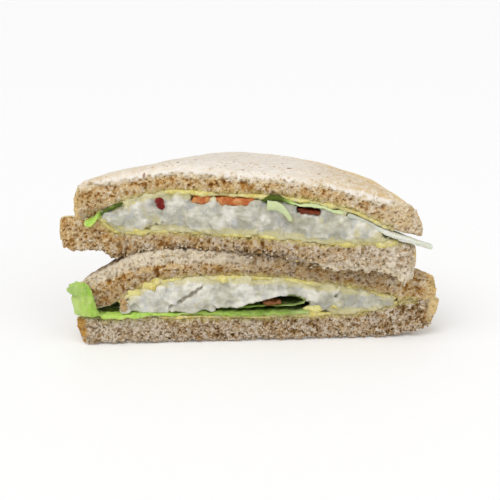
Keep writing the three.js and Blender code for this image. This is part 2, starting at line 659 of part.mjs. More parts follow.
const sandwich = new THREE.Group();
sandwich.add(
  halfGroup(LOWER_YAW, 0, [
    ["lower_bottom_bread", slices.lower_bottom_bread, breadFinish],
    ["lower_bottom_spread", bottomSpread(lower, LOWER_BOTTOM_ENDS, [-59, 61]), spreadFinish],
    ["lower_lettuce", leafSheet(34, 10, lowerLeafAt), leafFinish],
    ["lower_lettuce_fold", leafSheet(20, 3, lowerFoldAt), leafFinish],
    ["lower_tomato", lowerTomato, tomatoFinish],
    ["lower_chicken_mayo", lowerFilling, mayoFinish],
    ["lower_top_spread", topSpread(lower, LOWER_TOP_ENDS, [-53, 60.5]), spreadFinish],
    ["lower_top_bread", slices.lower_top_bread, breadFinish],
  ]),
  halfGroup(UPPER_YAW, UPPER_FORWARD, [
    ["upper_bottom_bread", slices.upper_bottom_bread, breadFinish],
    ["upper_bottom_spread", bottomSpread(upper, UPPER_BOTTOM_ENDS, [-60, 59.5]), spreadFinish],
    ["upper_chicken_mayo", upperFilling, mayoFinish],
    ["upper_red_pepper", pepper(0), pepperFinish],
    ...UPPER_TOMATOES.map((tomato, i) => [`upper_tomato_${i + 1}`, upperTomato(tomato), tomatoFinish]),
    ["upper_lettuce_left", leafSheet(6, 5, upperLeftLeafAt(0)), leafFinish],
    ["upper_lettuce_right", leafSheet(12, 7, upperRightLeafAt(0)), leafFinish],
    ["upper_lettuce_rib", leafSheet(12, 4, ribAt(0), RIB_THICK), ribFinish],
    ["upper_lettuce_curl", leafSheet(8, 4, curlAt), leafFinish],
    ["upper_top_spread", topSpread(upper, UPPER_TOP_ENDS, [-54, 57]), spreadFinish],
    ["upper_top_bread", slices.upper_top_bread, breadFinish],
  ]),
);

// Centres the sandwich over the origin, standing on z = 0.
const box = new THREE.Box3().setFromObject(sandwich, true);
sandwich.position.set(-(box.min.x + box.max.x) / 2, -(box.min.y + box.max.y) / 2, -box.min.z);

export default sandwich;
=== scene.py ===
import math
import random

import bmesh
import bpy
import numpy as np
from mathutils import Matrix, Vector, noise
from mathutils.bvhtree import BVHTree


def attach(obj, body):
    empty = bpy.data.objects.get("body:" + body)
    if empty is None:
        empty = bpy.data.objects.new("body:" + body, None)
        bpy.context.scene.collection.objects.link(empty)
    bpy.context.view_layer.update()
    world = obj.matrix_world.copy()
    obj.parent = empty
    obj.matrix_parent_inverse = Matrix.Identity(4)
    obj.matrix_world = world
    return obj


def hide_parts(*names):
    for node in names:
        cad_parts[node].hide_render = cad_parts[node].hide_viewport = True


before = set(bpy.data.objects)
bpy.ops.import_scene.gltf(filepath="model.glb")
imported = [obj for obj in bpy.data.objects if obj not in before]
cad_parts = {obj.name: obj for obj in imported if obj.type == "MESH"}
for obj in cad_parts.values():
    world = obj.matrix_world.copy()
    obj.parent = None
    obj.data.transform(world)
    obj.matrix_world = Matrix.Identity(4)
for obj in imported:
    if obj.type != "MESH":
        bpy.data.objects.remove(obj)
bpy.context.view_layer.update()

MM = 0.001


# ---------------------------------------------------------------- camera
# The sandwich is seen from the front and a little above, at the height of someone seated at a table.
# The cut faces look at the camera. Lengths here are millimetres unless a name says otherwise.

FRONT_CENTRE = Vector((-0.86, -33.33, 38.92))  # middle of the cut faces
CAMERA_DISTANCE = 420
CAMERA_RISE_DEG = 16

camera = bpy.data.objects.new("camera", bpy.data.cameras.new("camera"))
camera.data.lens = 75.6
camera.data.sensor_width = 36
camera.data.clip_start = 0.01
rise = math.radians(CAMERA_RISE_DEG)
towards_camera = Vector((0, -math.cos(rise), math.sin(rise)))
camera.location = (FRONT_CENTRE + towards_camera * CAMERA_DISTANCE) * MM
camera.rotation_euler = (math.pi / 2 - rise, 0, 0)
bpy.context.scene.collection.objects.link(camera)
bpy.context.scene.camera = camera


# ---------------------------------------------------------------- table and light
# A plain white tabletop that runs out of sight, under a large soft light above the front left and a
# weaker one at the right, as in a food studio. The air around is evenly bright.

def srgb(red, green, blue):
    """A colour as read on screen, 0 to 255, in the linear values that materials take."""
    def linear(channel):
        share = channel / 255
        return share / 12.92 if share <= 0.04045 else ((share + 0.055) / 1.055) ** 2.4
    return (linear(red), linear(green), linear(blue), 1.0)


class Wire:
    """An output of a material's node, for use in sums."""

    def __init__(self, finish, socket):
        self.finish, self.socket = finish, socket

    def _sum(self, operation, *values):
        """The outcome of a sum on wires or numbers."""
        return self.finish.node("ShaderNodeMath", {"operation": operation}, list(values))

    def __add__(self, other):
        return self._sum("ADD", self, other)

    def __sub__(self, other):
        return self._sum("SUBTRACT", self, other)

    def __rsub__(self, other):
        return self._sum("SUBTRACT", other, self)

    def __mul__(self, other):
        return self._sum("MULTIPLY", self, other)

    def __gt__(self, other):
        return self._sum("GREATER_THAN", self, other)

    __radd__, __rmul__ = __add__, __mul__

    def ramp(self, low, high):
        """0 at and under low, 1 at and over high, smooth between; reversed where low is higher."""
        settings = {"interpolation_type": "SMOOTHSTEP"}
        if low < high:
            return self.finish.node("ShaderNodeMapRange", settings, {0: self, 1: low, 2: high})
        return 1 - self.finish.node("ShaderNodeMapRange", settings, {0: self, 1: high, 2: low})


class Finish:
    """A material that is put together from nodes."""

    def __init__(self, name):
        self.material = bpy.data.materials.new(name)
        self.material.use_nodes = True
        self.tree = self.material.node_tree
        self.tree.nodes.clear()
        self.place = self.node("ShaderNodeTexCoord", {}, {}, "Object")

    def node(self, kind, settings, inputs, output=0):
        """Adds a node with its settings, then its inputs by index or name, and gives one output."""
        made = self.tree.nodes.new(kind)
        for key, value in settings.items():
            setattr(made, key, value)
        for key, value in inputs.items() if isinstance(inputs, dict) else enumerate(inputs):
            if isinstance(value, Wire):
                self.tree.links.new(value.socket, made.inputs[key])
            else:
                made.inputs[key].default_value = value
        return Wire(self, made.outputs[output]) if made.outputs else None

    def mottle(self, size, detail=2.0, roughness=0.5, seed=0.0, at=None, twist=0.0):
        """Smooth uneven patches about this many millimetres across, from 0 to 1."""
        inputs = {"Vector": self.moved(at or self.place, seed), "Scale": 1 / (size * MM)}
        inputs.update({"Detail": detail, "Roughness": roughness, "Distortion": twist})
        return self.node("ShaderNodeTexNoise", {}, inputs)

    def cells(self, size, feature="F1", seed=0.0, at=None):
        """Distance to the middle, or to the edge, of random cells about this many millimetres across."""
        inputs = {"Vector": self.moved(at or self.place, seed), "Scale": 1 / (size * MM)}
        return self.node("ShaderNodeTexVoronoi", {"feature": feature}, inputs)

    def warped(self, size, reach):
        """The place, shifted by noise of this size by up to this many millimetres."""
        inputs = {"Vector": self.place, "Scale": 1 / (size * MM), "Detail": 2.0}
        shift = self.node("ShaderNodeTexNoise", {}, inputs, 1)
        centred = self.node("ShaderNodeVectorMath", {"operation": "SUBTRACT"}, [shift, (0.5, 0.5, 0.5)])
        scaled = self.node("ShaderNodeVectorMath", {"operation": "SCALE"}, {0: centred, 3: 2 * reach * MM})
        return self.node("ShaderNodeVectorMath", {"operation": "ADD"}, [self.place, scaled])

    def moved(self, at, seed):
        """The place, shifted so that each seed shows another part of the pattern."""
        if not seed:
            return at
        shift = (0.37 * seed, 0.53 * seed, 0.71 * seed)
        return self.node("ShaderNodeVectorMath", {"operation": "ADD"}, [at, shift])

    def painted(self, name):
        """A value that is stored on the mesh."""
        return self.node("ShaderNodeAttribute", {"attribute_name": name}, {}, "Fac")

    def blend(self, share, first, second):
        """The first colour, with this share of the second."""
        return self.node("ShaderNodeMix", {"data_type": "RGBA"}, {0: share, 6: first, 7: second}, 2)

    def bump(self, height, distance):
        """Fine relief, about this many millimetres high."""
        return self.node("ShaderNodeBump", {}, {"Height": height, "Distance": distance * MM})

    def surface(self, **inputs):
        """The finished surface. Input names are the shader's own, with _ for a space."""
        named = {key.replace("_", " "): value for key, value in inputs.items()}
        shader = self.node("ShaderNodeBsdfPrincipled", {}, named)
        self.node("ShaderNodeOutputMaterial", {}, [shader])
        return self.material


TABLETOP_HALF_WIDTH_M = 12

tabletop_shape = bmesh.new()
bmesh.ops.create_grid(tabletop_shape, x_segments=1, y_segments=1, size=TABLETOP_HALF_WIDTH_M)
tabletop_mesh = bpy.data.meshes.new("tabletop")
tabletop_shape.to_mesh(tabletop_mesh)
tabletop_shape.free()
tabletop = bpy.data.objects.new("tabletop", tabletop_mesh)
bpy.context.scene.collection.objects.link(tabletop)
white_tabletop = Finish("white tabletop").surface(Base_Color=srgb(252, 252, 252), Roughness=0.6)
tabletop_mesh.materials.append(white_tabletop)

for label, place, watts in [
    ("key light", (-0.45, -0.65, 1.2), 1.7),
    ("fill light", (0.7, -0.8, 0.7), 0.5),
]:
    lamp = bpy.data.objects.new(label, bpy.data.lights.new(label, "SUN"))
    lamp.data.angle = math.radians(50)
    lamp.data.energy = watts
    lamp.location = place
    lamp.rotation_euler = (-Vector(place)).to_track_quat("-Z", "Y").to_euler()
    bpy.context.scene.collection.objects.link(lamp)

air = bpy.data.worlds.new("bright air")
air.use_nodes = True
air.node_tree.nodes["Background"].inputs["Color"].default_value = (1.0, 1.0, 1.0, 1.0)
air.node_tree.nodes["Background"].inputs["Strength"].default_value = 0.52
bpy.context.scene.world = air
bpy.context.scene.view_settings.view_transform = "Standard"


# ---------------------------------------------------------------- bread
# Four half slices of wholemeal sandwich loaf. The crumb is a sponge of thin pale walls round
# golden-brown holes, torn open by the knife on the cut face, and is painted with shade deep in the
# holes, under and between the slices and in the crevice where the two halves meet. The flat faces
# are pressed smooth and pale with specks of bran, and the crust round the two outer sides is thin,
# soft and golden.

# Each half of the sandwich has its own frame: s along the cut, t in from the cut, z up.
CUT_FRAMES = {"lower": (4.0, (-0.857, -33.334)), "upper": (-2.5, (-0.857, -34.134))}
CORNER_RADIUS = 12.0
APEX_EXTRA = CORNER_RADIUS * (math.sqrt(2) - 1)  # how far the square corner stood past the round one
CUT_SKIN = 3.4  # points this near to the cut belong to its face


def loose_copy(node):
    """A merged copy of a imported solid, as a bmesh."""
    shape = bmesh.new()
    shape.from_mesh(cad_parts[node].data)
    bmesh.ops.remove_doubles(shape, verts=shape.verts, dist=1e-6)
    return shape


def with_modifier(shape, kind, **settings):
    """The bmesh after one modifier, as a new bmesh."""
    before = bpy.data.meshes.new("before")
    shape.to_mesh(before)
    shape.free()
    holder = bpy.data.objects.new("holder", before)
    bpy.context.scene.collection.objects.link(holder)
    modifier = holder.modifiers.new("made", kind)
    for key, value in settings.items():
        setattr(modifier, key, value)
    after = bpy.data.meshes.new_from_object(holder.evaluated_get(bpy.context.evaluated_depsgraph_get()))
    bpy.data.objects.remove(holder)
    shape = bmesh.new()
    shape.from_mesh(after)
    bpy.data.meshes.remove(after)
    return shape


def even_faces(shape, voxel, smoothing):
    """The same solid with small even faces in place of large facets, smoothed."""
    shape = with_modifier(shape, "REMESH", mode="VOXEL", voxel_size=voxel * MM)
    every_way = dict(use_axis_x=True, use_axis_y=True, use_axis_z=True)
    for _ in range(smoothing):
        bmesh.ops.smooth_vert(shape, verts=shape.verts, factor=0.5, **every_way)
    return shape


def in_cut_frame(half, points):
    """World points, in metres, as rows of s, t and z in millimetres."""
    turn, (x0, y0) = CUT_FRAMES[half]
    angle = math.radians(turn)
    x, y = points[:, 0] / MM - x0, points[:, 1] / MM - y0
    cos, sin = math.cos(angle), math.sin(angle)
    return np.stack((x * cos + y * sin, -x * sin + y * cos, points[:, 2] / MM), axis=1)


def to_world(half, vectors):
    """Directions in s, t and z, in millimetres, as world directions in metres."""
    angle = math.radians(CUT_FRAMES[half][0])
    cos, sin = math.cos(angle), math.sin(angle)
    s, t, z = vectors.T
    return np.stack((s * cos - t * sin, s * sin + t * cos, z), axis=1) * MM


def world_place(half, place):
    """A place in s, t and z, in millimetres, as a world place in metres."""
    return Vector(to_world(half, np.array([place]))[0]) + Vector((*CUT_FRAMES[half][1], 0)) * MM


def shape_arrays(shape, half):
    """Points and normals of a bmesh as arrays, and the points in the half's own frame."""
    shape.normal_update()
    points = np.array([v.co for v in shape.verts])
    normals = np.array([v.normal for v in shape.verts])
    return points, normals, in_cut_frame(half, points)


def add_lump(shape, half, place, half_sizes, turn=0.0):
    """Adds an egg-shaped lump to a bmesh, at s, t and z on the cut."""
    size = Matrix.Diagonal((*[length * MM for length in half_sizes], 1))
    matrix = Matrix.Translation(world_place(half, place)) @ Matrix.Rotation(turn, 4, "Y") @ size
    bmesh.ops.create_icosphere(shape, subdivisions=2, radius=1, matrix=matrix)


def finer_front(shape, half, depth, cuts):
    """Splits the faces within this depth of the cut face."""
    t = in_cut_frame(half, np.array([v.co for v in shape.verts]))[:, 1]
    edges = [e for e in shape.edges if max(t[e.verts[0].index], t[e.verts[1].index]) < depth]
    bmesh.ops.subdivide_edges(shape, edges=edges, cuts=cuts, use_grid_fill=True)
    bmesh.ops.triangulate(shape, faces=[f for f in shape.faces if len(f.verts) > 4])


def rising(low, high, value):
    """0 under low, 1 over high, smooth between; falling where low is higher."""
    share = np.clip((value - low) / (high - low), 0, 1)
    return share * share * (3 - 2 * share)


noise.seed_set(7)  # the holes' ragged outlines would differ in each run without it


def wave(at, size, seed, octaves):
    """Smooth noise about this many millimetres across, from about -1 to 1."""
    return np.array([noise.fractal(Vector(p), 1.0, 2.0, octaves) for p in at / size + seed]) * 1.4


def pits(at, spacing, share, radius, seed):
    """Ragged holes in some of the cells of this spacing, 1 at their deepest."""
    deep = np.zeros(len(at))
    shares = np.broadcast_to(share, len(at))
    for i, p in enumerate(at / spacing + seed):
        p = Vector(p)
        distances, middles = noise.voronoi(p + 0.35 * noise.noise_vector(2 * p))
        chance = 0.5 + 0.5 * noise.cell(middles[0] * 57.3)
        if chance < shares[i]:
            reach = radius * (0.6 + 0.8 * chance / shares[i])
            deep[i] = max(0.0, 1 - distances[0] / reach)
    return np.minimum(deep * 1.6, 1)


def edge_line(at, side):
    """The highest (side 1) or lowest (side -1) line of a cut face, as places s and heights."""
    near = at[at[:, 1] < CUT_SKIN]
    first, step = near[:, 0].min(), 1.5
    slots = ((near[:, 0] - first) / step).astype(int)
    extreme = np.full(slots.max() + 1, -1e9)
    np.maximum.at(extreme, slots, side * near[:, 2])
    known = extreme > -1e8
    middles = first + step * (np.arange(len(extreme)) + 0.5)
    return middles[known], side * extreme[known]


def room_between(half, s):
    """Height of the room between the two slices of a half, at these places along the cut."""
    heights = []
    for node, side in [(f"{half}_top_bread", -1), (f"{half}_bottom_bread", 1)]:
        shape = loose_copy(node)
        heights.append(np.interp(s, *edge_line(shape_arrays(shape, half)[2], side)))
        shape.free()
    return heights[0] - heights[1]


def move_points(shape, points):
    """Puts the bmesh's points at these world places."""
    for vert, point in zip(shape.verts, points):
        vert.co = point


def finish_piece(shape, name, material, replaced, paints=None):
    """Makes the object, stores its painted values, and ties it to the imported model."""
    mesh = bpy.data.meshes.new(name)
    shape.to_mesh(mesh)
    shape.free()
    for key, values in (paints or {}).items():
        mesh.attributes.new(key, "FLOAT", "POINT").data.foreach_set("value", np.asarray(values, np.float32))
    mesh.shade_smooth()
    mesh.materials.append(material)
    piece = bpy.data.objects.new(name, mesh)
    bpy.context.scene.collection.objects.link(piece)
    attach(piece, "root")
    if replaced:
        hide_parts(*replaced)


def distance_to(nodes, points, reach):
    """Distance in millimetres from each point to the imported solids, up to this reach."""
    shape = bmesh.new()
    for node in nodes:
        shape.from_mesh(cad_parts[node].data)
    tree = BVHTree.FromBMesh(shape)
    shape.free()
    found = [tree.find_nearest(Vector(p), reach * MM)[3] for p in points]
    return np.array([reach if d is None else d / MM for d in found])


def bread_finish():
    """Crumb, pressed face, crust, spread-soaked edge and painted shade, each where it is painted on the
    mesh.
    """
    bread = Finish("wholemeal bread")
    in_cut, pale, dark = bread.painted("in_cut"), bread.painted("pale"), bread.painted("dark")
    walls = bread.cells(0.75, seed=1.0)
    patches = bread.mottle(6, detail=3)
    hue = bread.mottle(2.4, detail=3, roughness=0.6, seed=9.0)
    web = bread.mottle(1.7, detail=4, roughness=0.62, seed=7.0, twist=1.6)
    grain = bread.mottle(0.6, detail=3, roughness=0.7, seed=3.0)

    depth = bread.painted("hollow") + (web - 0.5) * (bread.painted("bold") + 2.8) + (walls - 0.45) * 0.3
    depth = depth + (grain - 0.5) * 0.6 + (patches - 0.5) * 1.3 - pale * 0.6
    tint = (bread.painted("golden") - pale * 0.4 + (patches - 0.5) * 1.2 + (hue - 0.5) * 2.4).ramp(0.0, 1.0)
    flake = bread.blend(tint, srgb(222, 209, 192), srgb(230, 212, 180))
    wall = bread.blend(tint, srgb(188, 168, 142), srgb(208, 178, 128))
    pore = bread.blend(tint, srgb(150, 118, 72), srgb(184, 134, 66))
    deep = bread.blend(tint, srgb(94, 64, 24), srgb(136, 86, 30))
    # The crumb is pale on its raised walls and darkens down its holes: partly the pores' own golden-brown,
    # partly painted shade at the deepest.
    crumb = bread.blend(depth.ramp(-0.55, 0.05), flake, wall)
    crumb = bread.blend(depth.ramp(0.1, 0.75), crumb, pore)
    crumb = bread.blend(depth.ramp(0.75, 1.4), crumb, deep)
    crumb = bread.blend(pale * (grain * 0.8 + 0.15), crumb, srgb(223, 210, 182))
    # Painted shade: the crumb is darkened towards brown where the dark paint lies, under the slice above,
    # along lower edges and in crevices.
    crumb = bread.blend(dark * 0.5, crumb, srgb(96, 66, 32))

    flat = bread.node("ShaderNodeVectorMath", {"operation": "MULTIPLY"}, [bread.place, (1.0, 1.0, 0.0)])
    bran = bread.cells(4.6, seed=4.0, at=flat).ramp(0.17, 0.1) * (bread.mottle(9, seed=8.0) > 0.45)
    fine_bran = bread.cells(2.3, seed=6.0, at=flat).ramp(0.3, 0.16) * (bread.mottle(6, seed=5.0) > 0.48)
    tanned = bread.painted("tanned")
    clouds = (patches * 0.5 + hue * 0.5).ramp(0.35, 0.7)
    pressed = bread.blend(clouds, srgb(237, 231, 222), srgb(226, 217, 205))
    pressed = bread.blend((grain * 0.6 + web * 0.4).ramp(0.42, 0.66) * 0.35, pressed, srgb(204, 188, 164))
    pressed = bread.blend(tanned * (hue * 0.7 + grain * 0.6).ramp(0.4, 0.8), pressed, srgb(202, 174, 124))
    pressed = bread.blend(fine_bran * 0.55, pressed, srgb(186, 150, 106))
    pressed = bread.blend(bran * 0.85, pressed, srgb(142, 104, 70))
    browning = (patches * 0.4 + hue * 0.4 + grain * 0.2 + bread.painted("baked") * 0.45).ramp(0.35, 0.95)
    rind = bread.blend(browning, srgb(226, 200, 146), srgb(186, 136, 58))
    rind = bread.blend((grain * 0.5 + web * 0.5).ramp(0.5, 0.7) * 0.45, rind, srgb(154, 112, 60))
    soaked = bread.blend((web * 0.6 + grain * 0.4).ramp(0.38, 0.62), srgb(218, 208, 146), srgb(176, 154, 84))

    edge = in_cut + (hue - 0.5) * 0.5 + (web - 0.5) * 1.1 + (grain - 0.5) * 0.7
    colour = bread.blend(edge.ramp(0.25, 0.75), pressed, crumb)
    browned = bread.painted("crust") + (web - 0.5) * 1.4 + (hue - 0.5) * 0.9
    colour = bread.blend(browned.ramp(0.25, 0.8), colour, rind)
    soaking = bread.painted("soaked") + (hue - 0.5) * 1.6 + (web - 0.5) * 0.8
    colour = bread.blend(soaking.ramp(0.3, 0.8) * 0.7, colour, soaked)
    relief = (web * 1.2 + grain * 0.5 - walls * 0.3) * in_cut * -1.0 + grain * 0.12
    return bread.surface(
        Base_Color=colour,
        Roughness=0.85,
        Normal=bread.bump(relief, 0.6),
        Subsurface_Weight=0.1,
        Subsurface_Radius=(1.0, 0.7, 0.4),
        Subsurface_Scale=1.0 * MM,
        Specular_IOR_Level=0.2,
    )


bread_material = bread_finish()

# How far down the cut face the pressed skin of the top slice rolls over: place along the cut, fall.
SKIN_ROLL = [
    (-70, 0.8), (-60, 1.7), (-50, 2.5), (-30, 2.8), (-5, 2.2),
    (28, 1.8), (40, 2.8), (52, 3.2), (57, 1.5), (60, -1.0),
]


def along_cut(s, *pairs):
    """A value at each place along the cut, from pairs of a place and the value there."""
    return np.interp(s, *zip(*pairs))


def top_roll(s):
    """The roll of the skin on the top slice."""
    return along_cut(s, *SKIN_ROLL)


def no_roll(s):
    """A skin that ends at the edge of the outer face."""
    return np.full(len(s), -0.6)


def nowhere(s):
    """A share of 0 at each place."""
    return 0 * s


def everywhere(s):
    """A share of 1 at each place."""
    return 1 + 0 * s


# The half slices, from the bottom up. Pairs are for the left and the right end:
#   ends, the places along the cut; golden, how golden the crumb is; pores, the share of large holes;
#   margin, the width of the crust on the outer face, and rind, in the cut; baked, how dark it is.
# Single values:
#   outer, 1 where the outer face is above and -1 where it is below; ragged, how far the edge of that
#   face is torn, and hang, how far it hangs out; reach, how far from the cut the face is torn open;
#   bold, the contrast of the crumb, and tanned, how toasted the outer face is; crumbs, how many lie
#   along the edge; lumps of crumb that hang from the cut, each with its place along the cut, height,
#   half width, half height and depth.
# Functions of the place along the cut, and for the last two of the distance from the outer face:
#   roll of the pressed skin; opened, how far the outer face is torn open; press, how far the inner
#   face is pressed out; worn, how far the outer face is worn away; and where the crumb is pale, and
#   where it is dark with painted shade.
SLICES = [
    dict(
        node="lower_bottom_bread", ends=(-70.8, 79.2), outer=-1, golden=(0.0, 0.15), pores=(0.15, 0.35),
        margin=(2, 2), rind=(4.6, 5.6), baked=(0.8, -0.3), ragged=1.0, hang=0.4, reach=3.6,
        bold=3.9, tanned=0.2, crumbs=220, lumps=[],
        roll=no_roll, opened=nowhere, press=nowhere,
        worn=lambda s: along_cut(s, (67, 0), (72, 1.6), (79, 3.4)),
        pale=lambda s, out: 0.2 * rising(-20, -50, s),
        # dark is painted shade: a little everywhere, more away from the left end, and most along the lower
        # edge.
        dark=lambda s, out: 0.1 + 0.15 * rising(-60, -20, s) + 0.25 * rising(3.0, 0.5, out),
    ),
    dict(
        node="lower_top_bread", ends=(-69.3, 77.0), outer=1, golden=(0.7, 0.6), pores=(0.25, 0.2),
        margin=(5, 5), rind=(1.7, 4.2), baked=(0.5, 0.0), ragged=0.8, hang=0.9, reach=8,
        bold=0.3, tanned=0.3, crumbs=120, lumps=[(-50.6, 16.9, 2.5, 3.1, -0.8)],
        roll=no_roll, opened=everywhere, press=nowhere,
        worn=lambda s: along_cut(s, (-60, 0), (-50, -0.8), (60, -0.8), (66, 0), (72, 1.0), (77, 3.2)),
        pale=lambda s, out: rising(5.5, 2.8, out) * rising(12, -8, s),
        # dark is painted shade: over the middle of the cut, and towards its lower edge left of the middle.
        dark=lambda s, out: (
            0.6 * rising(-30, 10, s) * rising(60, 50, s) + 0.45 * rising(5.5, 8, out) * rising(30, 0, s)
        ),
    ),
    dict(
        node="upper_bottom_bread", ends=(-76.8, 66.5), outer=-1, golden=(0.75, 0.15), pores=(0.65, 0.1),
        margin=(2, 2), rind=(1.0, 0.8), baked=(0.2, 0.0), ragged=1.0, hang=1.1, reach=8,
        bold=0.8, tanned=0.3, crumbs=200,
        lumps=[(61.8, 30.4, 3.0, 5.6, -0.5), (56.5, 33.0, 2.6, 2.6, -0.3), (47, 33.8, 3.0, 1.4, -0.2)],
        roll=no_roll, opened=everywhere, press=lambda s: along_cut(s, (-60, 1.0), (-53, 0)),
        worn=lambda s: along_cut(s, (-54, 0), (-46, -0.8), (62, -0.8)),
        pale=lambda s, out: (
            0.4 * rising(30, 56, s) + 0.9 * rising(5.0, 2.5, out) * rising(50, 56, s)
            + 0.7 * rising(3.2, 1.2, out) * rising(14, 30, s)
        ),
        # dark is painted shade: over the left and middle, strongest along the lower edge above the slice
        # below.
        dark=lambda s, out: (
            rising(-64, -50, s) * rising(34, 12, s) * (0.28 + 0.85 * rising(3.4, 0.8, out))
        ),
    ),
    dict(
        node="upper_top_bread", ends=(-70.8, 69.4), outer=1, golden=(0.75, 0.8), pores=(0.15, 0.2),
        margin=(1.5, 8), rind=(2.6, 1.2), baked=(0.1, -0.3), ragged=0.4, hang=0.4, reach=3.6,
        bold=0.3, tanned=1.0, crumbs=0, lumps=[],
        roll=top_roll, opened=lambda s: rising(54, 62, s),
        press=lambda s: along_cut(s, (-58, 1.1), (-50, 0.9), (-36, 0.7), (-28, 0)), worn=nowhere,
        pale=lambda s, out: 0.9 * rising(2.2, 0.2, out - top_roll(s)) + 0.3 * rising(25, 60, s),
        # dark is a painted shadow line along the bottom of the left end, where it sits on the slice below.
        dark=lambda s, out: 0.8 * rising(9.6, 11.6, out) * rising(-54, -59, s),
    ),
]
LUMP_HALF_DEPTH = 1.2
BREAD_VOXEL, BREAD_SMOOTHING = 0.75, 9
CLOSED_ROOM = 3.4  # where the two slices of a half are this near, they are pressed together
SOAK_REACH = 4.0  # how far from the spread and filling the crumb is looked at for their stain


def cut_relief(at, front, pores, seed):
    """Rough grain, fine grain, broad dips, tears along the edge and ragged holes of the cut face."""
    rough, fine, dips, torn, hollow = np.zeros((5, len(at)))
    near = at[front]
    rough[front] = wave(near, 2.2, seed, 2)
    fine[front] = wave(near, 0.9, seed + 5, 2)
    dips[front] = wave(near, 5.0, seed + 9, 2)
    torn[front] = wave(near * (1, 0.3, 0.3), 2.4, seed + 12, 3)
    hollow[front] = np.maximum.reduce([
        0.8 * pits(near * (0.7, 1, 1), 2.3, 0.35, 0.45, seed),
        0.75 * pits(near * (0.9, 1, 1), 1.35, 0.7, 0.5, seed + 4),
        1.2 * pits(near * (1.3, 1, 0.75), 4.2, pores[front], 0.4, seed + 8),
    ])
    return rough, fine, dips, torn, hollow


def drop_crumbs(crumbs, slice_, half, face, line, chance):
    """Adds small uneven flakes where the knife tore the outer edge, and gives their points' shade."""
    shades = []
    left, right = slice_["ends"]
    for _ in range(slice_["crumbs"]):
        place = chance.uniform(left + 2, right - 2)
        height = np.interp(place, *line) - slice_["outer"] * abs(chance.gauss(0, 1.5))
        spot = face.find_nearest(world_place(half, (place, -0.6, height)))[0]
        size = (0.3 + 0.6 * chance.random() ** 3) * MM
        if spot.z < 2 * size:
            continue
        turned = Matrix.Translation(spot) @ Matrix.Rotation(chance.uniform(0, 3), 4, "Y")
        flake = bmesh.ops.create_icosphere(crumbs, subdivisions=1, radius=1)["verts"]
        for corner in flake:
            stretch = Vector([chance.uniform(0.45, 1.25) for _ in range(3)])
            corner.co = turned @ (corner.co * size * stretch)
        shades += [chance.uniform(-0.3, 0.25)] * len(flake)
    return shades


crumbs = bmesh.new()
crumb_shades, crumb_goldens = [], []

